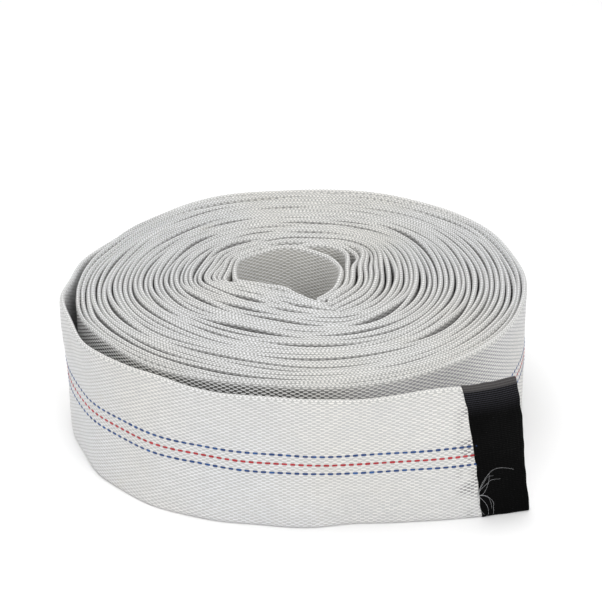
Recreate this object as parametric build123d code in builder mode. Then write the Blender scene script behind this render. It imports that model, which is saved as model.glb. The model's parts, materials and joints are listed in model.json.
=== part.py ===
from build123d import *
import math
import os

# A flat-rolled fire hose: a woven tube with a rubber lining, pressed flat and rolled up on its
# edge, with the last stretch of its outer turn standing away from the roll. Millimetres, +Z up.
# The roll stands on the XY plane and the origin is the bottom centre of the whole object's box.

# Hose, pressed flat
HOSE_WIDTH = 84.0
HOSE_THICKNESS = 2.8
LINING_THICKNESS = 1.0
LINING_WIDTH = 81.0

# Roll
ROLL_CENTRE = (1.67, 4.63)
ROLL_RADIUS = 132.2
WRAP_OUTER_RADIUS = 135.4
WRAP_START = -52.0
TAIL_START = 148.0
HOLLOW_CORNERS = [
    (-38, 2), (-37, 31), (-22, 43), (4, 47), (21, 32), (24, 12), (17, -18), (7, -22),
]
HOLLOW_CORNER_RADIUS = 5.0

# Free tail: one (radius, sweep in degrees) for each link, from the roll to the free end
TAIL_BENDS = [(156, 33.5), (122, 36), (142, 38.5), (172, 26.5), (1200, 3.9)]
LINK_GAP = 0.4

# Tracer yarns, woven along the middle of the hose's outer face
TRACER_SPACING = 6.3
TRACER_WIDTH = 2.0
TRACER_HEIGHT = 0.2
TRACER_SETBACK = 1.0

# Binding tape round the free end
TAPE_WIDTH = 34.0
TAPE_THICKNESS = 0.35

MIDDLE_HEIGHT = HOSE_WIDTH / 2
HALF_THICKNESS = HOSE_THICKNESS / 2
LINING_LOW = (HOSE_WIDTH - LINING_WIDTH) / 2
LINING_HIGH = HOSE_WIDTH - LINING_LOW
WRAP_RADIUS = WRAP_OUTER_RADIUS - HALF_THICKNESS


class Bend:
    """A stretch of hose curved about a vertical line, seen in plan."""

    def __init__(self, centre, radius, start, sweep):
        self.centre = centre
        self.radius = radius
        self.start = start
        self.sweep = sweep

    def point(self, angle):
        """The point of the middle line at an angle seen from the bend's centre."""
        x = self.centre[0] + self.radius * math.cos(math.radians(angle))
        y = self.centre[1] + self.radius * math.sin(math.radians(angle))
        return (x, y)

    def following(self, radius, sweep):
        """The next bend, tangent to this one where this one ends."""
        end_angle = self.start + self.sweep
        end = self.point(end_angle)
        x = end[0] - radius * math.cos(math.radians(end_angle))
        y = end[1] - radius * math.sin(math.radians(end_angle))
        return Bend((x, y), radius, end_angle, sweep)

    def trimmed(self, at_start, at_end):
        """The same bend, shorter by a length along the middle line at each end."""
        start_angle = math.degrees(at_start / self.radius)
        end_angle = math.degrees(at_end / self.radius)
        sweep = self.sweep - start_angle - end_angle
        return Bend(self.centre, self.radius, self.start + start_angle, sweep)

    def length(self):
        return self.radius * math.radians(self.sweep)


def strip(bend, inner, outer):
    """The plan of a strip from inner to outer, measured outwards from the middle line."""
    with BuildSketch() as plan:
        with BuildLine():
            outside = CenterArc(bend.centre, bend.radius + outer, bend.start, bend.sweep)
            inside = CenterArc(bend.centre, bend.radius + inner, bend.start, bend.sweep)
            Line(outside @ 0, inside @ 0)
            Line(outside @ 1, inside @ 1)
        make_face()
    return plan.sketch


def save(part, name):
    part.label = name
    export_step(part, f"parts/{name}.step")


def make_jacket(bend, inner, name):
    """The woven jacket: a flattened tube, with the slot that its lining fills."""
    with BuildPart() as jacket:
        with BuildSketch():
            add(strip(bend, inner, HALF_THICKNESS))
        extrude(amount=HOSE_WIDTH)
        with BuildSketch(Plane.XY.offset(LINING_LOW)):
            add(strip(bend, -LINING_THICKNESS / 2, LINING_THICKNESS / 2))
        extrude(amount=LINING_WIDTH, mode=Mode.SUBTRACT)
    save(jacket.part, name)


def make_taped_jacket(bend, name):
    """The jacket of the free end, whose taped stretch leaves room for the tape's two edges."""
    bare = bend.trimmed(0, TAPE_WIDTH)
    with BuildPart() as jacket:
        with BuildSketch(Plane.XY.offset(TAPE_THICKNESS)):
            add(strip(bend, -HALF_THICKNESS, HALF_THICKNESS))
        extrude(amount=HOSE_WIDTH - 2 * TAPE_THICKNESS)
        with BuildSketch():
            add(strip(bare, -HALF_THICKNESS, HALF_THICKNESS))
        extrude(amount=HOSE_WIDTH)
        with BuildSketch(Plane.XY.offset(LINING_LOW)):
            add(strip(bend, -LINING_THICKNESS / 2, LINING_THICKNESS / 2))
        extrude(amount=LINING_WIDTH, mode=Mode.SUBTRACT)
    save(jacket.part, name)


def make_lining(bend, name):
    """The rubber lining: a tube pressed flat, so that its two walls touch."""
    with BuildPart() as lining:
        with BuildSketch(Plane.XY.offset(LINING_LOW)):
            add(strip(bend, -LINING_THICKNESS / 2, LINING_THICKNESS / 2))
        extrude(amount=LINING_WIDTH)
    save(lining.part, name)


def make_tracers(bend, heights, name):
    """Tracer yarns at the given heights, on the outer face of the jacket."""
    with BuildPart() as tracers:
        for height in heights:
            with BuildSketch(Plane.XY.offset(height - TRACER_WIDTH / 2)):
                add(strip(bend, HALF_THICKNESS, HALF_THICKNESS + TRACER_HEIGHT))
            extrude(amount=TRACER_WIDTH)
    save(tracers.part, name)


def make_tape(bend):
    """The binding tape: a sleeve that closes round the end of the hose, flush with its mouth."""
    taped = bend.trimmed(bend.length() - TAPE_WIDTH, 0)
    outer = HALF_THICKNESS + TAPE_THICKNESS
    with BuildPart() as tape:
        with BuildSketch():
            add(strip(taped, -outer, outer))
        extrude(amount=HOSE_WIDTH)
        with BuildSketch(Plane.XY.offset(TAPE_THICKNESS)):
            add(strip(taped, -HALF_THICKNESS, HALF_THICKNESS))
        extrude(amount=HOSE_WIDTH - 2 * TAPE_THICKNESS, mode=Mode.SUBTRACT)
    save(tape.part, "end_tape")


def make_inner_parts(bend, tracer_setback, name):
    """The lining and the three tracers of one stretch of the hose."""
    blue_heights = [MIDDLE_HEIGHT - TRACER_SPACING, MIDDLE_HEIGHT + TRACER_SPACING]
    traced = bend.trimmed(TRACER_SETBACK, tracer_setback)
    make_lining(bend, f"lining_{name}")
    make_tracers(traced, [MIDDLE_HEIGHT], f"tracer_red_{name}")
    make_tracers(traced, blue_heights, f"tracers_blue_{name}")


os.makedirs("parts", exist_ok=True)

# The rolled turns, as one closed solid of their outer shape round the hollow in the middle.
roll_plane = Plane(origin=(*ROLL_CENTRE, 0))
with BuildPart() as hose_roll:
    with BuildSketch(roll_plane):
        Circle(ROLL_RADIUS)
    extrude(amount=HOSE_WIDTH)
    with BuildSketch(roll_plane) as hollow:
        with BuildLine():
            Polyline(*HOLLOW_CORNERS, close=True)
        make_face()
        fillet(hollow.vertices(), radius=HOLLOW_CORNER_RADIUS)
    extrude(amount=HOSE_WIDTH, mode=Mode.SUBTRACT)
save(hose_roll.part, "hose_roll")

# The outer turn, up to where the tail leaves the roll. It lies against the roll, so it is
# thicker inwards than the tail, which starts a small gap away from the roll.
wrap = Bend(ROLL_CENTRE, WRAP_RADIUS, WRAP_START, TAIL_START - WRAP_START)
outer_turn = wrap.trimmed(0, LINK_GAP / 2)
make_jacket(outer_turn, ROLL_RADIUS - WRAP_RADIUS, "jacket_outer_turn")
make_inner_parts(outer_turn, TRACER_SETBACK, "outer_turn")

# The free tail, link by link. Each link turns about a vertical line on the hose's outer face.
link = wrap
for number, (radius, sweep) in enumerate(TAIL_BENDS, start=1):
    link = link.following(radius, sweep)
    hinge = Bend(link.centre, radius + HALF_THICKNESS, link.start, 0).point(link.start)
    print(f"link {number}: hinge at {hinge[0]:.3f}, {hinge[1]:.3f}, length {link.length():.1f}")
    if number < len(TAIL_BENDS):
        loose_link = link.trimmed(LINK_GAP / 2, LINK_GAP / 2)
        make_jacket(loose_link, -HALF_THICKNESS, f"jacket_tail_{number}")
        make_inner_parts(loose_link, TRACER_SETBACK, f"tail_{number}")

# The last link carries the tape, and its tracers go under the tape's edge.
free_end = link.trimmed(LINK_GAP / 2, 0)
make_taped_jacket(free_end, f"jacket_tail_{len(TAIL_BENDS)}")
make_inner_parts(free_end, TAPE_WIDTH, f"tail_{len(TAIL_BENDS)}")
make_tape(free_end)

end_angle = link.start + link.sweep
end_point = link.point(end_angle)
print(f"free end at {end_point[0]:.3f}, {end_point[1]:.3f}, heading {end_angle + 90:.2f} degrees")
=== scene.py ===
"""Rolled fire hose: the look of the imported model, in its frame, in metres."""
import json
import math

import bpy
import numpy as np
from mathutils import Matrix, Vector


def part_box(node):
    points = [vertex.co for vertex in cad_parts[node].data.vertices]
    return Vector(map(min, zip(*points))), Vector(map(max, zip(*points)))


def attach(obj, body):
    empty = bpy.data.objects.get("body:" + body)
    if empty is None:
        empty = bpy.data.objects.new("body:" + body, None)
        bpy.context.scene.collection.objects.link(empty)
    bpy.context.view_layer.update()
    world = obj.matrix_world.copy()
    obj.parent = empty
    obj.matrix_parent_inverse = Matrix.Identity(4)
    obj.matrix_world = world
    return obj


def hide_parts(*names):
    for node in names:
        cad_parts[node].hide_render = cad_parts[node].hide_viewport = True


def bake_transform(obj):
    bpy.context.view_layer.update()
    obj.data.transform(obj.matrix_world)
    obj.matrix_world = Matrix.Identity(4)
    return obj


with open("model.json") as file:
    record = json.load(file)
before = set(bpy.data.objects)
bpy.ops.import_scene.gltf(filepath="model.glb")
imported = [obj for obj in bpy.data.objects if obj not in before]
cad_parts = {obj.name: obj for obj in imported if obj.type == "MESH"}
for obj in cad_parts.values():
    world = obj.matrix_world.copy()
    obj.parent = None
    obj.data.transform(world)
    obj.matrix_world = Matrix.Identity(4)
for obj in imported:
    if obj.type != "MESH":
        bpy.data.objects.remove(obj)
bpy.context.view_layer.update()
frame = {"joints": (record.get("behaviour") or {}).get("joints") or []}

MM = 0.001
SEED = 11

# The roll, from the CAD box of its turns
roll_low, roll_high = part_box("hose_roll")
CENTRE = np.array(((roll_low.x + roll_high.x) / 2, (roll_low.y + roll_high.y) / 2))
WIDTH = roll_high.z

# The hose pressed flat
HALF_THICKNESS = 1.4 * MM
PRESSED = 2.5 * MM
FOLD_DEPTH = 2.8 * MM
EDGE_SWELL = 0.18 * MM                   # how much fatter each side is at the folded edges
EDGE_REACH = 5 * MM                      # how far that swelling reaches from an edge
GROUND = 0.15 * MM                       # how far the outer turn and the tail stand off the floor
LOWEST = 0.05 * MM                       # and the least that any of their points does
LINING_EDGE = 1.5 * MM                   # from the jacket's edge to the lining's
LINING_HALF = 0.5 * MM

# The weave: rows of floats, each row shifted by half a pitch from the row below it
PITCH = 4.62 * MM
PERIMETER = 171 * MM
ROWS = 148
ROW = PERIMETER / ROWS
FLOAT_HALF_LENGTH = 1.62 * MM
FLOAT_HALF_HEIGHT = 0.57 * MM
TRACER_ROWS = 5                          # rows from the red tracer to each blue one
FOLD_PLACE = WIDTH / 2 + 0.5 * MM        # distance round the hose from mid-face to the top fold
FOLD_ROW = float(round(FOLD_PLACE / ROW))

# Route of the outer turn and the free tail: angle and radius about the roll's centre, then x and y
TURN_START = (-52, 132.8)
TURN_STEP = 20
TURN_CORNERS = ((-42, 133.2), (-22, 134.2), (-2, 134.6), (18, 136.1), (38, 139.1), (58, 137.6),
                (78, 134.1), (98, 133.1), (118, 133.9), (138, 130.0))
TAIL_CORNERS = ((-120, 52), (-134.5, 20), (-138.7, -18), (-131, -56.5), (-112.5, -91.5), (-79.5, -122),
                (-41, -137), (1, -145), (40, -140.3), (95, -134.2), (129.2, -121.0))


def polar(degrees, radius):
    """A point about the roll's centre, in millimetres."""
    angle = math.radians(degrees)
    return radius * math.cos(angle), radius * math.sin(angle)


def route_points():
    """The smooth line through the route's corners, about the roll's centre, in metres."""
    bulge = 1 / math.cos(math.radians(TURN_STEP / 2))
    corners = [polar(*TURN_START)]
    corners += [polar(angle, radius * bulge) for angle, radius in TURN_CORNERS]
    corners += list(TAIL_CORNERS)
    data = bpy.data.curves.new("route", "CURVE")
    data.dimensions = "3D"
    data.resolution_u = 24
    line = data.splines.new("NURBS")
    line.points.add(len(corners) - 1)
    for point, (x, y) in zip(line.points, corners):
        point.co = (x * MM, y * MM, 0, 1)
    line.order_u = 3
    line.use_endpoint_u = True
    holder = bpy.data.objects.new("route", data)
    bpy.context.scene.collection.objects.link(holder)
    bpy.context.view_layer.update()
    mesh = bpy.data.meshes.new_from_object(holder.evaluated_get(bpy.context.evaluated_depsgraph_get()))
    points = np.array([vertex.co[:2] for vertex in mesh.vertices])
    bpy.data.objects.remove(holder)
    bpy.data.meshes.remove(mesh)
    return points


def lengths_along(points):
    """Distance from a line's first point to each of its points."""
    steps = np.linalg.norm(np.diff(points, axis=0), axis=1)
    return np.concatenate([[0], np.cumsum(steps)])


def spaced(points, at):
    """Points of a line at the given distances along it, and the line's right-hand normals there."""
    along = lengths_along(points)
    keep = np.concatenate([[True], np.diff(along) > 1e-7])
    points, along = points[keep], along[keep]
    tangents = np.gradient(points, along, axis=0)
    found = np.stack([np.interp(at, along, points[:, i]) for i in (0, 1)], 1)
    heading = np.stack([np.interp(at, along, tangents[:, i]) for i in (0, 1)], 1)
    heading /= np.linalg.norm(heading, axis=1)[:, None]
    return found, np.stack([heading[:, 1], -heading[:, 0]], 1)


def smooth(x, low, high):
    """0 at low and 1 at high, level at both."""
    t = np.clip((x - low) / (high - low), 0, 1)
    return t * t * (3 - 2 * t)


def periodic(angles, knots, values):
    """Smooth values round a full turn, from values at knot angles in degrees."""
    knots = np.asarray(knots, float)
    values = np.asarray(values, float)
    order = np.argsort(knots % 360)
    knots, values = (knots % 360)[order], values[order]
    knots = np.concatenate([knots - 360, knots, knots + 360])
    values = np.tile(values, 3)
    fine = np.arange(-90, 451)
    rough = np.interp(fine, knots, values)
    kernel = np.hanning(15)
    soft = np.convolve(rough, kernel / kernel.sum(), "same")
    return np.interp(np.asarray(angles) % 360, fine, soft)


class Waves:
    """Smooth seeded noise over two variables, about 1 in size: a sum of plane waves."""

    def __init__(self, seed, count, first, second):
        chance = np.random.default_rng(seed)
        self.first = chance.uniform(first[0], first[1], count) * chance.choice((-1, 1), count)
        self.second = chance.uniform(second[0], second[1], count)
        self.phase = chance.uniform(0, 2 * math.pi, count)

    def __call__(self, first, second):
        total = 0
        for f, s, p in zip(self.first, self.second, self.phase):
            total = total + np.sin(2 * math.pi * (f * first + s * second) + p)
        return total / math.sqrt(len(self.phase) / 2)


class TurnWaves(Waves):
    """The same, repeating after a full turn in its second variable, which is in degrees."""

    def __init__(self, seed, count, first, cycles):
        super().__init__(seed, count, first, (0, 1))
        chance = np.random.default_rng(seed + 1)
        self.second = chance.integers(cycles[0], cycles[1] + 1, count) / 360


# ---------------------------------------------------------------- meshes

def section(half, faces, folds, depth=FOLD_DEPTH, low=0.0, high=None):
    """Points round a flattened tube: side (-1 inner, 1 outer), height and distance round it."""
    high = WIDTH if high is None else high
    middle = (low + high) / 2
    rise = np.linspace(middle, high - depth, faces)
    side = [1.0] * faces
    height = list(rise)
    for angle in np.linspace(0, math.pi, folds + 2)[1:-1]:
        side.append(math.cos(angle))
        height.append(high - depth + depth * math.sin(angle))
    fall = np.linspace(high - depth, low + depth, 2 * faces - 1)
    side += [-1.0] * len(fall)
    height += list(fall)
    for angle in np.linspace(0, math.pi, folds + 2)[1:-1]:
        side.append(-math.cos(angle))
        height.append(low + depth - depth * math.sin(angle))
    side += [1.0] * (faces - 1)
    height += list(np.linspace(low + depth, middle, faces)[:-1])
    side, height = np.array(side), np.array(height)
    steps = np.hypot(np.diff(side, append=side[0]) * half, np.diff(height, append=height[0]))
    around = np.concatenate([[0], np.cumsum(steps)])
    return side, height, around * (PERIMETER / around[-1])


def build(name, vertices, faces, uv, material):
    """A smooth-shaded piece; its end caps, which have more than four corners, keep sharp rims."""
    mesh = bpy.data.meshes.new(name)
    mesh.from_pydata(vertices.tolist(), [], faces)
    layer = mesh.uv_layers.new(name="hose")
    layer.data.foreach_set("uv", np.asarray(uv, np.float32).ravel())
    mesh.materials.append(material)
    mesh.shade_smooth()
    mesh.update()
    rims = {key for polygon in mesh.polygons if len(polygon.vertices) > 4 for key in polygon.edge_keys}
    for edge in mesh.edges:
        if edge.key in rims:
            edge.use_edge_sharp = True
    piece = bpy.data.objects.new(name, mesh)
    bpy.context.scene.collection.objects.link(piece)
    return piece


def skin(name, vertices, along, around, material, caps=True):
    """A skin over a grid of stations by section points, closed round each section."""
    stations, count = vertices.shape[:2]
    i, j = np.meshgrid(np.arange(stations - 1), np.arange(count), indexing="ij")
    i, j = i.ravel(), j.ravel()
    k = (j + 1) % count
    faces = np.stack([i * count + j, (i + 1) * count + j, (i + 1) * count + k, i * count + k], 1).tolist()
    corners = ((i, j), (i + 1, j), (i + 1, j + 1), (i, j + 1))
    uv = [np.stack([np.stack([along[a], around[b]], 1) for a, b in corners], 1).reshape(-1, 2)]
    if caps:
        faces.append(list(range(count)))
        faces.append(list(range((stations - 1) * count, stations * count))[::-1])
        uv.append(np.stack([np.full(count, along[0]), around[:count]], 1))
        uv.append(np.stack([np.full(count, along[-1]), around[:count][::-1]], 1))
    return build(name, vertices.reshape(-1, 3), faces, np.concatenate(uv), material)


route = route_points()
ROUTE_LENGTH = lengths_along(route)[-1]

# ---------------------------------------------------------------- materials

# Distances along the hose are from the outer turn's start, in metres, and are negative inwards.
ROLLED_MIDDLE = -8.33       # about where the fold is that the hose is rolled from
SEAM_PAINTED_SHADE = (156, 156, 160)  # painted shade: tone of the gaps where the rolled turns run on into the outer turn, behind the tail


class Nodes:
    """Short names for building one material's node tree."""

    def __init__(self, name):
        self.material = bpy.data.materials.new(name)
        self.material.use_nodes = True
        self.tree = self.material.node_tree
        self.shader = self.tree.nodes["Principled BSDF"]

    def put(self, socket, value):
        if isinstance(value, bpy.types.NodeSocket):
            self.tree.links.new(value, socket)
        else:
            socket.default_value = value

    def set(self, **values):
        for name, value in values.items():
            self.put(self.shader.inputs[name.replace("_", " ")], value)

    def add(self, kind, output=0, inputs=(), **settings):
        node = self.tree.nodes.new("ShaderNode" + kind)
        for name, value in settings.items():
            setattr(node, name, value)
        for key, value in dict(inputs).items():
            self.put(node.inputs[key], value)
        return node.outputs[output]

    def math(self, operation, *values):
        return self.add("Math", 0, dict(enumerate(values)), operation=operation)

    def mix(self, share, first, second):
        node = self.tree.nodes.new("ShaderNodeMix")
        node.data_type = "RGBA"
        self.put(node.inputs[0], share)
        self.put(node.inputs[6], first)
        self.put(node.inputs[7], second)
        return node.outputs[2]

    def ramp(self, value, low, high, first=0.0, second=1.0):
        inputs = {0: value, 1: low, 2: high, 3: first, 4: second}
        return self.add("MapRange", 0, inputs, interpolation_type="SMOOTHSTEP")

    def noise(self, scale, detail, roughness=0.5):
        place = self.add("TexCoord", 3)
        inputs = {"Vector": place, "Scale": scale, "Detail": detail, "Roughness": roughness}
        return self.add("TexNoise", 0, inputs)

    def bump(self, height, distance):
        self.set(Normal=self.add("Bump", 0, {"Height": height, "Distance": distance, "Strength": 1.0}))

    def hose_uv(self):
        """The uv, and its two parts: distance along the hose and distance round it."""
        uv = self.add("UVMap", uv_map="hose")
        split = self.tree.nodes.new("ShaderNodeSeparateXYZ")
        self.put(split.inputs[0], uv)
        return uv, split.outputs[0], split.outputs[1]


def colour(red, green, blue):
    """A colour from its usual 0 to 255 values."""
    return tuple((x / 255) ** 2.2 for x in (red, green, blue)) + (1.0,)


def weave_cells(nodes, along, around):
    """The woven pattern: each yarn float's height, its random value and its row."""
    across = nodes.math("MULTIPLY_ADD", around, 1 / ROW, 0.5)
    row = nodes.math("FLOOR", across)
    folded = nodes.math("COMPARE", row, FOLD_ROW, 1.5)
    rate = nodes.math("MULTIPLY_ADD", folded, 1 / PITCH, 1 / PITCH)
    place = nodes.math("MULTIPLY_ADD", row, 0.5, nodes.math("MULTIPLY", along, rate))
    column = nodes.math("FLOOR", place)
    x = nodes.math("SUBTRACT", nodes.math("FRACT", place), 0.5)
    y = nodes.math("SUBTRACT", nodes.math("FRACT", across), 0.5)
    x = nodes.math("MULTIPLY", x, PITCH / FLOAT_HALF_LENGTH)
    y = nodes.math("MULTIPLY", y, ROW / FLOAT_HALF_HEIGHT)
    reach = nodes.math("ADD", nodes.math("MULTIPLY", x, x), nodes.math("MULTIPLY", y, y))
    height = nodes.math("SQRT", nodes.math("MAXIMUM", nodes.math("SUBTRACT", 1.0, reach), 0.0))
    cell = nodes.add("CombineXYZ", 0, {0: row, 1: column})
    chance = nodes.add("TexWhiteNoise", 0, {"Vector": cell}, noise_dimensions="2D")
    return height, chance, row


def near_fold(nodes, around, inner, outer):
    """1 on the top fold, falling to 0 on the flat faces below it."""
    away = nodes.math("ABSOLUTE", nodes.math("SUBTRACT", around, FOLD_PLACE))
    return nodes.ramp(away, inner, outer, 1.0, 0.0)


def from_middle(nodes, along):
    """Distance along the hose from the fold that it is rolled from."""
    return nodes.math("ABSOLUTE", nodes.math("SUBTRACT", along, ROLLED_MIDDLE))


def rolled_ground(nodes, along, painted_gap_shading):
    """The gaps' tone on the rolled turns: darkest under the tail's edge, a painted shadow, and pale in the
    hollow, painted light.
    """
    # painted shadow: the gaps darkest where the tail's edge shades the roll
    painted_tail_shadow = nodes.math("MULTIPLY", nodes.ramp(along, -0.42, -0.36), nodes.ramp(along, -0.02, -0.1))
    painted_gap_shading = nodes.mix(painted_tail_shadow, painted_gap_shading, colour(72, 72, 68))
    # the gaps take the seam's painted shade where the rolled turns run on into the outer turn
    painted_gap_shading = nodes.mix(nodes.ramp(along, -0.1, 0.0), painted_gap_shading, colour(*SEAM_PAINTED_SHADE))
    # painted light: the gaps paler in the hollow, near the fold the hose is rolled from
    return nodes.mix(nodes.ramp(from_middle(nodes, along), 0.25, 0.2), painted_gap_shading, colour(176, 174, 168))


def painted_groove_shade(nodes, along, around, base):
    """Paints shade into the grooves between the tight layers, by darkening the faces below their folds."""
    distance = from_middle(nodes, along)
    between = nodes.math("MULTIPLY", nodes.ramp(distance, 0.3, 0.7), nodes.ramp(distance, 7.4, 7.0))
    below = nodes.math("SUBTRACT", 1.0, near_fold(nodes, around, 1.4 * MM, 3 * MM))
    share = nodes.math("MULTIPLY", nodes.math("MULTIPLY", between, below), 0.6)
    return nodes.mix(share, base, colour(92, 91, 90))


def outer_ground(nodes, along, painted_gap_shading):
    """The gaps' tone on the outer turn and the tail: painted shade towards the outer turn's start, and here
    and there beside the tape, in the puckered weave.
    """
    # painted shade: the outer turn's gaps darker towards its start, which lies behind the tail
    painted_gap_shading = nodes.mix(nodes.ramp(along, 0.14, 0.02), painted_gap_shading, colour(*SEAM_PAINTED_SHADE))
    # painted shade in patches of the puckered weave beside the tape
    painted_pucker_shade = nodes.ramp(along, ROUTE_LENGTH - 0.047, ROUTE_LENGTH - 0.036)
    painted_pucker_shade = nodes.math("MULTIPLY", painted_pucker_shade, nodes.ramp(nodes.noise(70, 2), 0.4, 0.6, 0.0, 0.7))
    return nodes.mix(painted_pucker_shade, painted_gap_shading, colour(96, 96, 98))


def dyed_rows(nodes, row, height, yarn):
    """Dyes the tracers' rows on the rolled turns."""
    distance = nodes.math("PINGPONG", row, ROWS / 2)
    middle = nodes.math("LESS_THAN", distance, 0.5)
    outer = nodes.math("COMPARE", distance, float(TRACER_ROWS), 0.5)
    dyed = nodes.ramp(height, 0.1, 0.4)
    yarn = nodes.mix(nodes.math("MULTIPLY", middle, dyed), yarn, colour(198, 52, 66))
    return nodes.mix(nodes.math("MULTIPLY", outer, dyed), yarn, colour(36, 84, 144))


def fabric_material(name, rolled, gap_shade, fold_gap_shade):
    """The woven jacket. Its two given tones are painted shade in the gaps between the floats: on the faces,
    and on the top fold.
    """
    nodes = Nodes(name)
    _, along, around = nodes.hose_uv()
    height, chance, row = weave_cells(nodes, along, around)
    fold = near_fold(nodes, around, 1.6 * MM, 4.2 * MM)
    fibres = nodes.noise(2600, 3)
    patches = nodes.noise(26, 3, roughness=0.6)
    cloudy = nodes.noise(9, 2)
    # painted shade in the gaps between the floats, its tone varied in patches
    painted_gap_shading = nodes.mix(patches, colour(gap_shade, gap_shade + 1, gap_shade + 3), colour(gap_shade + 10, gap_shade + 8, gap_shade + 4))
    painted_gap_shading = (rolled_ground if rolled else outer_ground)(nodes, along, painted_gap_shading)
    # painted shade of the gaps on the top fold, in its own tone
    painted_gap_shading = nodes.mix(fold, painted_gap_shading, colour(fold_gap_shade, fold_gap_shade, fold_gap_shade - 2))
    yarn = nodes.mix(nodes.ramp(cloudy, 0.35, 0.65), colour(224, 225, 227), colour(227, 225, 220))
    yarn = nodes.mix(nodes.math("MULTIPLY", chance, 0.4), yarn, colour(208, 208, 207))
    if rolled:
        yarn = dyed_rows(nodes, row, height, yarn)
    base = nodes.mix(nodes.ramp(height, 0.0, 0.55), painted_gap_shading, yarn)
    if rolled:
        base = painted_groove_shade(nodes, along, around, base)
    base = nodes.mix(nodes.ramp(patches, 0.62, 0.8, 0.0, 0.25), base, colour(196, 192, 178))
    nodes.set(Base_Color=base, Sheen_Weight=0.15, Specular_IOR_Level=0.35)
    nodes.set(Roughness=nodes.ramp(fibres, 0.2, 0.8, 0.55, 0.75))
    raised = nodes.math("MULTIPLY", height, nodes.math("MULTIPLY_ADD", chance, 0.4, 0.7))
    raised = nodes.math("MULTIPLY_ADD", fibres, 0.22, raised)
    nodes.bump(raised, 0.32 * MM)
    return nodes.material


def tracer_material(name, dye, wear_and_painted_light):
    """The dyed yarn of the raised floats."""
    nodes = Nodes(name)
    fibres = nodes.noise(3000, 3)
    patches = nodes.noise(160, 2)
    base = nodes.mix(nodes.ramp(patches, 0.4, 0.75), dye, wear_and_painted_light)
    nodes.set(Base_Color=nodes.mix(nodes.math("MULTIPLY", fibres, 0.35), base, wear_and_painted_light))
    nodes.set(Roughness=nodes.ramp(fibres, 0.2, 0.8, 0.5, 0.7), Sheen_Weight=0.1)
    nodes.bump(fibres, 0.15 * MM)
    return nodes.material


def tape_material():
    """Black cloth tape: a fine grid of ribs and ticks, with painted light on the ribs near the top and a
    painted highlight on the top fold, with creases and dust.
    """
    nodes = Nodes("binding_tape")
    uv, along, around = nodes.hose_uv()
    rib = nodes.math("PINGPONG", around, 0.6 * MM)
    tick = nodes.math("PINGPONG", along, 0.5 * MM)
    tick = nodes.ramp(tick, 0, 0.4 * MM, 0.4, 1)
    height = nodes.math("MULTIPLY", nodes.ramp(rib, 0.1 * MM, 0.5 * MM), tick)
    grain = nodes.noise(900, 4)
    scuffs = nodes.noise(60, 4, roughness=0.7)
    creases = nodes.add("TexWave", 1, {"Vector": uv, "Scale": 130.0, "Distortion": 3.0, "Detail": 2.0})
    dust = nodes.ramp(scuffs, 0.6, 0.78, 0.0, 0.35)
    upper = near_fold(nodes, around, 5 * MM, 20 * MM)
    # painted light: the rib tops paler towards the top, where the light falls
    wear_and_painted_light = nodes.math("MULTIPLY", upper, nodes.ramp(height, 0.1, 0.8, 0.0, 0.7))
    base = nodes.mix(dust, colour(3, 3, 4), colour(12, 12, 14))
    base = nodes.mix(wear_and_painted_light, base, colour(66, 66, 72))
    edge = near_fold(nodes, around, 2.6 * MM, 4.2 * MM)
    # painted highlight on the rib tops along the tape's top fold
    painted_fold_highlight = nodes.math("MULTIPLY", edge, nodes.ramp(height, 0, 0.6, 0.6, 1))
    nodes.set(Base_Color=nodes.mix(painted_fold_highlight, base, colour(82, 80, 80)))
    nodes.set(Roughness=nodes.ramp(scuffs, 0.25, 0.75, 0.42, 0.6), Specular_IOR_Level=0.045)
    raised = nodes.math("MULTIPLY_ADD", height, 0.5, nodes.math("MULTIPLY", grain, 0.5))
    raised = nodes.math("MULTIPLY_ADD", creases, 0.35, nodes.math("MULTIPLY_ADD", scuffs, 1.6, raised))
    nodes.bump(raised, 0.35 * MM)
    return nodes.material


def lining_material():
    """Smooth black rubber with a faint bloom."""
    nodes = Nodes("rubber_lining")
    grain = nodes.noise(1500, 3)
    bloom = nodes.noise(70, 3)
    faded = nodes.ramp(bloom, 0.4, 0.8, 0, 0.5)
    nodes.set(Base_Color=nodes.mix(faded, colour(24, 24, 25), colour(48, 47, 46)))
    nodes.set(Roughness=nodes.ramp(bloom, 0.3, 0.7, 0.42, 0.6))
    nodes.bump(grain, 0.08 * MM)
    return nodes.material


def yarn_material():
    """The loose yarn ends at the tape."""
    nodes = Nodes("loose_yarn")
    fibres = nodes.noise(4000, 2)
    nodes.set(Base_Color=nodes.mix(fibres, colour(150, 152, 156), colour(196, 196, 196)))
    nodes.set(Roughness=nodes.ramp(fibres, 0.3, 0.7, 0.4, 0.6), Sheen_Weight=0.2, Alpha=0.7)
    nodes.bump(fibres, 0.05 * MM)
    return nodes.material


# Two copies of one jacket: the rolled turns' has darker painted shade in its gaps, less of it on the top
# fold where light falls; the outer turn's and the tail's is the lit copy.
WOVEN_PAINTED_SHADE = fabric_material("woven_jacket", True, 128, 168)
WOVEN_PLAIN = fabric_material("woven_jacket_outer", False, 182, 180)
TAPE = tape_material()
RUBBER = lining_material()
RED = tracer_material("tracer_red_yarn", colour(150, 18, 30), colour(182, 50, 58))
BLUE = tracer_material("tracer_blue_yarn", colour(6, 46, 96), colour(24, 84, 146))
YARN = yarn_material()

# ---------------------------------------------------------------- the rolled turns

CORE = np.array((-6.0, 14.0)) * MM     # middle of the hollow, about the roll's centre
FOLD_ANGLE = 300.0                     # bearing of the fold that the hose is rolled from
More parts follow.
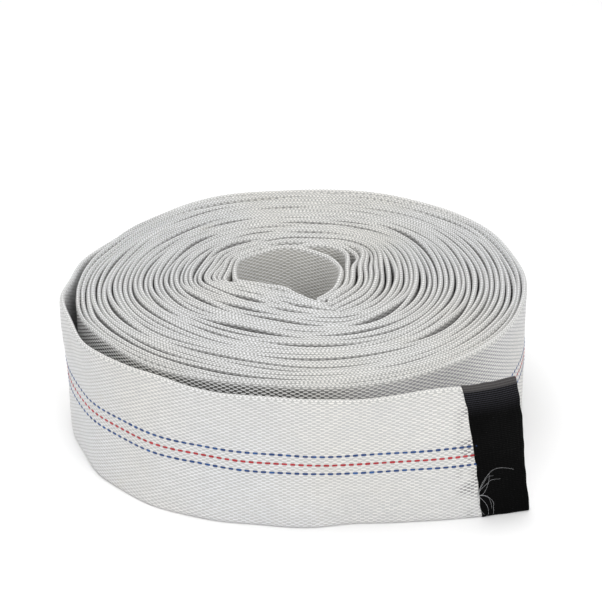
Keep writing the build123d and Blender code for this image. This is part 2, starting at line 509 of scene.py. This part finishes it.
# The hollow's outline: bearing about its middle, for a turn from the fold, and radius in millimetres
HOLLOW = ((300, 36.5), (315, 33), (330, 31.3), (345, 30.2), (360, 30), (375, 30), (390, 30.6),
          (405, 31.5), (420, 32), (435, 32.6), (450, 32.5), (465, 31.8), (480, 31.5), (495, 32.5),
          (510, 33.7), (525, 32.1), (540, 31), (550, 31.2), (558, 31), (570, 25.5), (585, 21.5),
          (600, 20), (615, 21), (630, 24.2), (645, 31.9), (660, 48))
# The ring, just inside the outer turn: bearing about the roll's centre, and radius in millimetres
RING = ((-52, 128.9), (-42, 129.1), (-22, 129.8), (-2, 129.9), (18, 131.2), (38, 133.9), (58, 132.1),
        (78, 128.3), (98, 127.0), (118, 127.5), (138, 123.9), (158, 123.6), (180, 128.2), (200, 131.3),
        (216, 129.2), (228, 128.8), (244, 126), (257, 126.4), (270, 127.6), (290, 127.4))
LAYER = 2.55 * MM
OUTER_LAYER = 2.62 * MM                # spacing beyond the ring table's layer
START_BEYOND = 1.5                     # layers from the ring table's layer to the outer turn's start
LAYER_STEP = 0.05                      # step of the layer table, in layers
MAIN_TURNS = 16                        # whole turns of the strand that runs on into the outer turn
OTHER_TURNS = 15                       # whole turns of the strand that ends behind the tail
OTHER_END = 165.4                      # and the bearing where it ends
RIM = 1.3 * MM                         # from the hollow's outline to the middle of the first layer
# Loose places: layer from the inside, bearing and breadth in degrees, depth in millimetres
POCKETS = ((0, 46, 24, 11.0), (1, 30, 14, 4.5), (2, 340, 30, 1.5), (0, 190, 13, 4.0),
           (0, 330, 20, 1.0), (5, 195, 25, 1.0))


def ring_distance(angles):
    """Distance from the hollow's middle to the ring table's layer, at angles about that middle."""
    heading = np.stack([np.cos(np.radians(angles)), np.sin(np.radians(angles))], 1)
    distance = np.full(len(angles), 0.13)
    for _ in range(8):
        at = CORE + heading * distance[:, None]
        bearing = np.degrees(np.arctan2(at[:, 1], at[:, 0]))
        radius = periodic(bearing, *zip(*RING)) * MM
        along = heading @ CORE
        distance = -along + np.sqrt(along ** 2 + radius ** 2 - CORE @ CORE)
    return distance


class Turns:
    """Places of the layers: distance from the hollow's middle for a layer number and an angle."""

    def __init__(self):
        start = np.array(polar(*TURN_START)) * MM - CORE
        self.end_angle = math.degrees(math.atan2(start[1], start[0]))
        self.end_turn = MAIN_TURNS + (self.end_angle + 360 - FOLD_ANGLE) / 360
        self.last = 2 * self.end_turn - START_BEYOND
        self.angles = np.arange(0, 361, 1.0)
        self.layers = np.arange(0, self.last, LAYER_STEP)
        self.ring = ring_distance(self.angles)
        turn = ((self.angles - FOLD_ANGLE) % 360) / 360
        hollow = np.interp(FOLD_ANGLE + 360 * turn, *zip(*HOLLOW)) * MM + RIM
        loose = TurnWaves(SEED, 30, (0.12, 0.5), (-3, 3))
        grid = loose(self.layers[:, None], self.angles[None, :])
        weight = np.exp(0.6 * grid) + 0.1
        number = self.layers[:, None] - 2 * turn[None, :]
        inside = number < 0
        weight[inside] = 0
        share = weight / weight.sum(0)
        extra = np.zeros_like(weight)
        for layer, bearing, breadth, depth in POCKETS:
            away = (self.angles - bearing + 180) % 360 - 180
            near = (number > layer) & (number <= layer + 1)
            extra += np.where(near, depth * MM * LAYER_STEP * np.exp(-(away / breadth) ** 2)[None, :], 0)
        # the room from the hollow to the ring: equal layers, the pockets, and what is spare shared unevenly
        count = self.last - 2 * turn
        room = self.ring - hollow
        spare = np.maximum(room - count * LAYER - extra.sum(0), 0)
        pressed = (room - spare - extra.sum(0)) / count
        step = np.where(inside, 0, LAYER_STEP) * pressed[None, :]
        self.table = hollow[None, :] + np.cumsum(step + extra + share * spare[None, :], 0)
        self.table = np.concatenate([hollow[None, :], self.table[:-1]], 0)
        # smoothed round the turn, apart from the layers near the hollow and near the ring
        wide = np.hanning(71)
        ring_free = np.concatenate([self.table[:, :-1]] * 3, 1)
        soft = np.stack([np.convolve(row, wide / wide.sum(), "same") for row in ring_free])
        soft = soft[:, 360:721]
        keep = np.exp(-(np.maximum(number, 0) / 6.0) ** 2)
        calm = smooth(self.layers, 4, 9)[:, None] * smooth(self.last - self.layers, 1, 6)[:, None]
        self.table = self.table + (soft - self.table) * (1 - keep) * calm

    def distance(self, layer, angle):
        """Distance from the hollow's middle, between the table's values or beyond its last layer."""
        layer = np.asarray(layer, float)
        angle = np.asarray(angle, float) % 360
        column = np.clip(angle, 0, 359.999)
        left = np.floor(column).astype(int)
        share = column - left
        row = np.clip(layer / LAYER_STEP, 0, len(self.layers) - 1.001)
        low = np.floor(row).astype(int)
        rest = row - low

        def at(columns):
            return self.table[low, columns] * (1 - rest) + self.table[low + 1, columns] * rest

        inner = at(left) * (1 - share) + at(left + 1) * share
        beyond = np.maximum(layer - self.last, 0) * OUTER_LAYER
        return inner + beyond

    def point(self, layer, angle):
        radians = np.radians(angle)
        heading = np.stack([np.cos(radians), np.sin(radians)], -1)
        return CORE + heading * self.distance(layer, angle)[..., None]


turns = Turns()


def strand(last_turn, outer):
    """Angles along one of the two strands, in turns, about 3 mm of hose apart."""
    found = [0.0]
    while found[-1] < last_turn:
        radius = 30 * MM + (2 * found[-1] + outer) * 3.1 * MM
        found.append(found[-1] + 3 * MM / (2 * math.pi * radius))
    found[-1] = last_turn
    return np.array(found)


def rolled_line():
    """The hose's middle line from the outer turn's start inwards to the fold, and out to its other end."""
    inner = strand(turns.end_turn, 0)
    second = strand(OTHER_TURNS + (OTHER_END + 360 - FOLD_ANGLE) / 360, 1)
    lines, rooms = [], []
    for turn, extra in ((inner, 0), (second, 1)):
        layer, angle = 2 * turn + extra, FOLD_ANGLE + 360 * turn
        lines.append(turns.point(layer, angle))
        here = turns.distance(layer, angle)
        out = turns.distance(layer + 1, angle) - here
        back = here - turns.distance(np.maximum(layer - 1, 0), angle)
        back[layer - 1 < 2 * ((angle - FOLD_ANGLE) % 360) / 360] = 1
        rooms.append((layer, angle, out, back))
    # the inner strand meets the outer turn's start exactly
    miss = route[0] - lines[0][-1]
    ease = smooth(inner, turns.end_turn - 0.08, turns.end_turn)
    lines[0] = lines[0] + miss[None, :] * ease[:, None]
    first, second_start = lines[0][0], lines[1][0]
    middle, reach = (first + second_start) / 2, (second_start - first) / 2
    side = np.array((reach[1], -reach[0]))
    bend = np.linspace(0, math.pi, 13)[1:-1]
    fold = middle - np.cos(bend)[:, None] * reach + np.sin(bend)[:, None] * side * 1.2
    line = np.concatenate([lines[0][::-1], fold, lines[1]])
    filler = np.full(len(fold), 3 * MM)

    def chain(index, middle_values):
        return np.concatenate([rooms[0][index][::-1], middle_values, rooms[1][index]])

    layer = chain(0, np.linspace(0, 1, len(fold)))
    angle = chain(1, np.full(len(fold), FOLD_ANGLE))
    out = chain(2, filler)
    back = chain(3, filler)
    flipped = np.arange(len(line)) > len(rooms[0][0]) + len(fold) // 2
    return line, layer, angle, out, back, flipped


FILLED = 0.475                         # share of the room to the next layer that a layer fills
THIN, THICK = 1.18 * MM, 1.72 * MM     # limits of a layer's half thickness
JOINING = 60 * MM                      # length over which the rolled turns take the outer turn's section
ripple = Waves(SEED + 21, 14, (3, 22), (0.2, 1.6))
edge_rise = Waves(SEED + 23, 10, (2, 12), (0, 0.1))


def edge_nearness(height):
    """1 at the hose's folded edges, falling to 0 on its faces."""
    return np.exp(-(np.minimum(height, WIDTH - height) / EDGE_REACH) ** 2)


def rolled_turns():
    """The whole roll as one strip of pressed hose, and its length."""
    line, layer, angle, out, back, flipped = rolled_line()
    along = lengths_along(line)
    tangent = np.gradient(line, along, axis=0)
    tangent /= np.linalg.norm(tangent, axis=1)[:, None]
    normal = np.stack([-tangent[:, 1], tangent[:, 0]], 1)
    side, height, around = section(PRESSED / 2, 4, 5)
    share = height[None, :] / WIDTH
    joining = smooth(along, JOINING, 0.0)[:, None]

    # half thickness, from the room to the next layer on each side
    half_out = np.clip(np.where(flipped, back, out) * FILLED, THIN, THICK)[:, None]
    half_in = np.clip(np.where(flipped, out, back) * FILLED, THIN, THICK)[:, None]
    fold = edge_nearness(height)[None, :]
    half = np.where(side[None, :] > 0, half_out, half_in)
    half = np.minimum(half, THIN + (half - THIN) * fold)
    half = half + (HALF_THICKNESS + EDGE_SWELL * fold - half) * joining
    slack = Waves(SEED + 5, 12, (2, 14), (0.2, 1.2))
    sway = 0.25 * MM * slack(along[:, None], share) * share
    offset = side[None, :] * half + sway + (0.15 * MM * ripple(0, share) - sway) * joining

    # height of each layer's edges
    rises = TurnWaves(SEED + 9, 26, (0.1, 0.5), (-7, 7))
    rise = 0.75 * MM * rises(layer, angle)
    sag = 0.5 * MM * smooth(np.abs(((angle - 145) % 360) - 180), 180, 130)
    top = (rise - sag)[:, None] * smooth(height, 0.02, WIDTH)[None, :]
    base = 0.35 * MM * (1 + np.clip(rises(layer + 7, angle), -1, 1))[:, None] * (1 - share)
    z = height[None, :] + top + base
    met = height[None, :] + 0.5 * MM * edge_rise(0, 0) * smooth(share, 0.3, 1) + GROUND
    z = z + (met - z) * joining

    xy = CENTRE + line[:, None, :] + normal[:, None, :] * offset[:, :, None]
    piece = skin("rolled_turns", np.concatenate([xy, z[:, :, None]], 2), -along, around, WOVEN_PAINTED_SHADE)
    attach(piece, "roll")
    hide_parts("hose_roll")
    return piece, along[-1]


rolled, rolled_length = rolled_turns()

# ---------------------------------------------------------------- the outer turn and the free tail

along_route = lengths_along(route)
# Distance along the route, and millimetres that the top edge leans out of the bottom one
LEAN = ((0, 0), (470, 0), (530, 2.0), (560, 3.2), (622, 2.5), (655, -1.5), (682, -3), (715, -2.5),
        (743, -0.3), (771, 2), (798, 3), (826, 1.2), (843, 0.2), (860, 0.5), (876, -3), (892, -6.5))
# Distance along the route, and millimetres that the top edge dips
DIP = ((330, 0), (420, 1), (470, 1.5), (520, 1), (600, 0.3), (640, 1.3), (668, 2.4), (711, 1.5),
       (745, 2), (771, 2.6), (810, 1.6), (850, 0))
END_SKEW = 9.1 * MM                    # how far back the end's top corner is
END_BOW = 1.4 * MM                     # how far the end bows out between its corners
END_RISE = 1.4 * MM                    # how much the top edge rises to the end
TRACER_DROOP = 1.3 * MM                # how much the tracers sink towards the tape
# Share of the height, and distance back from the end of the tape's other edge in millimetres
TAPE_LEFT = ((0, 27.6), (0.3, 29.9), (0.6, 33.4), (0.85, 37.0), (0.95, 39.6), (1, 41.0))
TAPE_THICKNESS = 0.35 * MM
TAPE_WIDTH = 34 * MM
LINING_BACK = 3 * MM                   # from the hose's end to the lining's
DASHES_BACK = 30 * MM                  # from the hose's end to the tracers', under the tape
STATION = 2.2 * MM                     # step along the hose between sections
DASH_HALF_LENGTH, DASH_HALF_HEIGHT = 1.62 * MM, 0.74 * MM
DASH_RISE, DASH_SUNK = 0.42 * MM, 0.12 * MM

JOINTS = ["tail_peel", "tail_bend_2", "tail_bend_3", "tail_bend_4", "tail_bend_5"]
LINKS = (("outer_turn",), ("tail_1",), ("tail_2",), ("tail_3",), ("tail_4", "tail_5"))
places = {joint["name"]: joint["pos_m"] for joint in frame["joints"]}
hinges = [np.array(places[name][:2]) - CENTRE for name in JOINTS]


def nearest(point):
    """Distance along the route of its point nearest to this one."""
    return along_route[np.argmin(np.linalg.norm(route - point, axis=1))]


hinge_at = [nearest(point) for point in hinges]
seams = [(a + b) / 2 for a, b in zip(hinge_at, hinge_at[1:])]


def skew(height):
    """How far back from its nominal place the hose's cut end is, at a height."""
    share = height / WIDTH
    return END_SKEW * share - END_BOW * np.sin(math.pi * np.clip(share, 0, 1) ** 1.6)


def shell(along, side, height, inset=0.0):
    """Points of the hose's skin: distance along, side from -1 to 1, nominal height, and depth inside."""
    along, side, height, inset = np.broadcast_arrays(along, side, height, inset)
    share = height / WIDTH
    drawn = along - skew(height) * smooth(along, ROUTE_LENGTH - 0.05, ROUTE_LENGTH)
    xy, normal = spaced(route, drawn.ravel())
    lean = np.interp(drawn / MM, *zip(*LEAN)) * MM * (share - 0.5)
    half = HALF_THICKNESS + EDGE_SWELL * edge_nearness(height) - inset
    free = smooth(drawn, 0.42, 0.5)
    wavy = (0.15 + 0.35 * free) * MM * ripple(drawn, share)
    offset = side * half + lean + wavy
    spot = CENTRE + xy + normal * offset.ravel()[:, None]
    top = 0.5 * MM * edge_rise(drawn, 0) * smooth(share, 0.3, 1)
    top = top + END_RISE * smooth(drawn, ROUTE_LENGTH - 0.045, ROUTE_LENGTH) * smooth(share, 0.5, 1)
    droop = smooth(drawn, ROUTE_LENGTH - 0.14, ROUTE_LENGTH - 0.04)
    top = top - TRACER_DROOP * droop * 4 * share * (1 - share)
    dip = np.interp(drawn / MM, *zip(*DIP)) * MM * share
    z = WIDTH / 2 + (height - WIDTH / 2) * (1 - inset / (WIDTH / 2)) + top - dip + GROUND
    z = np.maximum(z, LOWEST)
    return np.concatenate([spot, z.reshape(-1, 1)], 1).reshape(along.shape + (3,))


def jacket(name, start, end, open_end):
    """One stretch of the woven jacket; its open end is turned in a little way."""
    side, height, around = section(HALF_THICKNESS, 17, 7)
    stations = np.linspace(start, end, max(2, round((end - start) / STATION)))
    inset = np.zeros(len(stations))
    if open_end:
        stations = stations - 0.4 * MM * smooth(stations, end - 5 * MM, end)
        stations = np.append(stations, [end - 0.2 * MM, end - 0.4 * MM, end - 6 * MM])
        inset = np.append(inset, [0.45 * MM, 0.9 * MM, 0.95 * MM])
    grid = shell(stations[:, None], side[None, :], height[None, :], inset[:, None])
    return skin(name, grid, stations, around, WOVEN_PLAIN)


def lining(name, start, end):
    """The rubber lining of one stretch, pressed flat inside the jacket."""
    side, height, around = section(LINING_HALF, 9, 5, LINING_HALF, LINING_EDGE, WIDTH - LINING_EDGE)
    stations = np.linspace(start, end, max(2, round((end - start) / (2 * STATION))))
    grid = shell(stations[:, None], side[None, :], height[None, :])
    centre = shell(stations[:, None], 0 * side[None, :], height[None, :])
    grid[:, :, :2] = centre[:, :, :2] + (grid - centre)[:, :, :2] * (LINING_HALF / HALF_THICKNESS)
    return skin(name, grid, stations, around, RUBBER)


def tape_left(height):
    """Distance along the route of the tape's inner edge, at a height."""
    return ROUTE_LENGTH - np.interp(height / WIDTH, *zip(*TAPE_LEFT)) * MM


def dashes(name, rows, start, end, material):
    """The dyed yarn's floats, each a low dome that lies on the jacket's outer face."""
    ahead = np.linspace(-1, 1, 9)
    up = np.linspace(-1, 1, 7)
    a, b = np.meshgrid(ahead, up, indexing="ij")
    dome = np.sqrt(np.maximum(1 - a ** 2 * 0.98, 0)) * np.sqrt(np.maximum(1 - b ** 2 * 0.98, 0))
    chance = np.random.default_rng(SEED + 31)
    vertices, faces, uv = [], [], []
    across = len(up)
    i, j = np.meshgrid(np.arange(len(ahead) - 1), np.arange(across - 1), indexing="ij")
    corner = (i * across + j).reshape(-1, 1)
    quad = corner + np.array((0, across, across + 1, 1))
    for row in rows:
        first = math.ceil(start / PITCH - 0.5 + 0.5 * row)
        last = math.floor(end / PITCH - 0.5 + 0.5 * row)
        for cell in range(first, last + 1):
            middle = (cell + 0.5 - 0.5 * row) * PITCH
            if not start <= middle < end:
                continue
            length = DASH_HALF_LENGTH * chance.uniform(0.92, 1.06)
            breadth = DASH_HALF_HEIGHT * chance.uniform(0.9, 1.1)
            tilt = chance.uniform(-0.05, 0.05)
            s = middle + a * length
            z = WIDTH / 2 + row * ROW + b * breadth + a * length * tilt
            faces += (quad + len(vertices) * dome.size).tolist()
            vertices.append(shell(s, 1.0, z, DASH_SUNK - dome * DASH_RISE).reshape(-1, 3))
            uv.append(np.stack([s, z], -1).reshape(-1, 2)[quad].reshape(-1, 2))
    return build(name, np.concatenate(vertices), faces, np.concatenate(uv), material)


def blended(piece, number):
    """Bakes the piece's transform into its mesh."""
    at = hinge_at[number]
    middle, normal = spaced(route, np.array([at]))
    if number == 0:
        far, _ = spaced(route, np.array([seams[0]]))
    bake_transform(piece)


bounds = [0.0, *seams, ROUTE_LENGTH]
for number, links in enumerate(LINKS):
    start, end = bounds[number], bounds[number + 1]
    last = number == len(LINKS) - 1
    label = links[0]
    dyed_end = end - DASHES_BACK * last
    made = [
        (jacket(f"woven_{label}", start, end, last), "jacket", "jacket"),
        (lining(f"rubber_{label}", start, end - LINING_BACK * last), "lining", "lining"),
        (dashes(f"red_yarn_{label}", (0,), start, dyed_end, RED), "tracer_red", "tracer_red"),
        (dashes(f"blue_yarns_{label}", (-TRACER_ROWS, TRACER_ROWS), start, dyed_end, BLUE),
         "tracers_blue", "tracer_blue"),
    ]
    for piece, stem, material_slot in made:
        blended(piece, number)
        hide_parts(*[f"{stem}_{link}" for link in links])

# ---------------------------------------------------------------- the tape and its loose yarns

def binding_tape():
    """The tape, wrapped round the hose and turned in over its open end."""
    side, height, around = section(HALF_THICKNESS, 25, 9)
    frayed = Waves(SEED + 41, 9, (0, 0.1), (1, 9))
    share = height / WIDTH
    left = tape_left(height) + 0.15 * MM * frayed(0, share)
    right = ROUTE_LENGTH + 0.55 * MM + 0.16 * MM * frayed(3, share + side * 0.3)
    # share of the tape's width, and millimetres outside the jacket
    full = [(x, TAPE_THICKNESS / MM) for x in (0.012, *np.linspace(0.05, 0.97, 20))]
    turned_in = [(0.995, 0.3), (1.0, 0.05), (1.0, -0.5), (0.985, -1.0), (0.85, -1.05)]
    profile = [(0, -0.15), (0, 0.2), *full, *turned_in]
    creases = Waves(SEED + 43, 16, (12, 70), (0.5, 3.5))
    stations = np.array([x for x, _ in profile])
    lift = np.array([y for _, y in profile]) * MM
    along = left[None, :] + (right - left)[None, :] * stations[:, None]
    creased = np.where(lift > 0.3 * MM, 0.16 * MM, 0.0)[:, None]
    inset = -lift[:, None] - creased * np.maximum(creases(along, share[None, :]), -0.5)
    grid = shell(along, side[None, :], height[None, :], inset)
    piece = skin("binding_tape", grid, ROUTE_LENGTH + stations * TAPE_WIDTH, around, TAPE, caps=False)
    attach(piece, "tail_5")
    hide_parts("end_tape")


def loose_yarns():
    """Thin yarn ends that lie over the tape from its left edge."""
    # along and up from the root, in millimetres: halfway, and at the end
    ends = (((8.6, 14.2), (23.6, 12.8)), ((5.5, 7.5), (14.6, 8.6)), ((4, 8.5), (10, 11.3)),
            ((5, 3), (7.5, 13.4)), ((6.5, -1.5), (8, -9.5)), ((8.5, -4), (9.4, -14)),
            ((1, -7), (3.6, -13)), ((6, -8), (4.6, -14.6)))
    vertices, faces = [], []
    sides, steps = 5, 18
    radius = 0.1 * MM
    root = 0.19 * WIDTH
    chance = np.random.default_rng(SEED + 51)
    for (mid_x, mid_z), (end_x, end_z) in ends:
        t = np.linspace(0, 1, steps)
        curl = chance.uniform(0.2, 0.6) * np.sin(chance.uniform(7, 12) * t + chance.uniform(0, 6)) * t
        x = 2 * t * (1 - t) * (2 * mid_x - end_x / 2) + t ** 2 * end_x + curl
        z = 2 * t * (1 - t) * (2 * mid_z - end_z / 2) + t ** 2 * end_z - curl
        s = tape_left(root) - 1.2 * MM + x * MM
        height = np.maximum(root + z * MM, 1.5 * MM)
        lift = TAPE_THICKNESS + 0.3 * MM + 0.6 * MM * np.sin(math.pi * t) * chance.uniform(0.3, 1.2)
        line = shell(s, 1.0, height, -lift)
        heading = np.gradient(line, axis=0)
        heading /= np.linalg.norm(heading, axis=1)[:, None]
        first = np.cross(heading, (0.0, 1.0, 0.15))
        first /= np.linalg.norm(first, axis=1)[:, None]
        second = np.cross(heading, first)
        base = len(vertices) * sides * steps
        turn = np.linspace(0, 2 * math.pi, sides, endpoint=False)
        thin = radius * (1 - 0.5 * t)[:, None, None]
        ring = first[:, None, :] * np.cos(turn)[None, :, None]
        ring = ring + second[:, None, :] * np.sin(turn)[None, :, None]
        vertices.append((line[:, None, :] + thin * ring).reshape(-1, 3))
        for i in range(steps - 1):
            for j in range(sides):
                k = (j + 1) % sides
                faces.append([base + i * sides + j, base + i * sides + k,
                              base + (i + 1) * sides + k, base + (i + 1) * sides + j])
        faces.append([base + j for j in range(sides)][::-1])
        faces.append([base + (steps - 1) * sides + j for j in range(sides)])
    vertices = np.concatenate(vertices)
    corners = [vertices[i] for face in faces for i in face]
    piece = build("loose_yarns", vertices, faces, np.array(corners)[:, [0, 2]], YARN)
    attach(piece, "tail_5")


binding_tape()
loose_yarns()

# ---------------------------------------------------------------- camera, floor and light

# The camera was fitted to the photo's outlines; it looks 26.6 degrees down.
CAMERA_PLACE = Vector((0.0032, -1.3362, 0.743))
CAMERA_TARGET = Vector((0.0032, 0.0046, 0.0704))
LENS = 149.5
LIGHT_TARGET = Vector((0, 0, 0.05))
WORLD_LIGHT = 0.64

camera_data = bpy.data.cameras.new("camera")
camera_data.lens = LENS
camera_data.sensor_width = 36
camera = bpy.data.objects.new("camera", camera_data)
bpy.context.scene.collection.objects.link(camera)
camera.location = CAMERA_PLACE
camera.rotation_mode = "QUATERNION"
camera.rotation_quaternion = (CAMERA_TARGET - CAMERA_PLACE).to_track_quat("-Z", "Y")
camera_data.clip_start = 0.05
camera_data.clip_end = 50
bpy.context.scene.camera = camera


def area_light(name, place, size, power):
    data = bpy.data.lights.new(name, "AREA")
    data.shape = "RECTANGLE"
    data.size, data.size_y = size
    data.energy = power
    lamp = bpy.data.objects.new(name, data)
    lamp.location = place
    lamp.rotation_mode = "QUATERNION"
    lamp.rotation_quaternion = (LIGHT_TARGET - Vector(place)).to_track_quat("-Z", "Y")
    bpy.context.scene.collection.objects.link(lamp)


area_light("softbox_top", (-0.25, 0.15, 1.5), (1.3, 1.0), 12)
area_light("softbox_left", (-1.3, -0.9, 0.9), (1.0, 1.0), 3.5)
area_light("softbox_front", (0.75, -1.25, 1.15), (1.2, 0.8), 12)

world = bpy.data.worlds.new("studio")
bpy.context.scene.world = world
world.use_nodes = True
world.node_tree.nodes["Background"].inputs[0].default_value = (1, 1, 1, 1)
world.node_tree.nodes["Background"].inputs[1].default_value = WORLD_LIGHT
bpy.context.scene.view_settings.view_transform = "Standard"
bpy.context.scene.view_settings.look = "None"

floor_nodes = Nodes("pale_floor")
tone = floor_nodes.mix(floor_nodes.noise(2.0, 2), (0.93, 0.93, 0.93, 1), (0.95, 0.95, 0.95, 1))
floor_nodes.set(Base_Color=tone, Roughness=0.7)
floor_mesh = bpy.data.meshes.new("floor")
floor_mesh.from_pydata([(-4, -4, 0), (4, -4, 0), (4, 4, 0), (-4, 4, 0)], [], [(0, 1, 2, 3)])
floor_mesh.materials.append(floor_nodes.material)
floor = bpy.data.objects.new("floor", floor_mesh)
bpy.context.scene.collection.objects.link(floor)
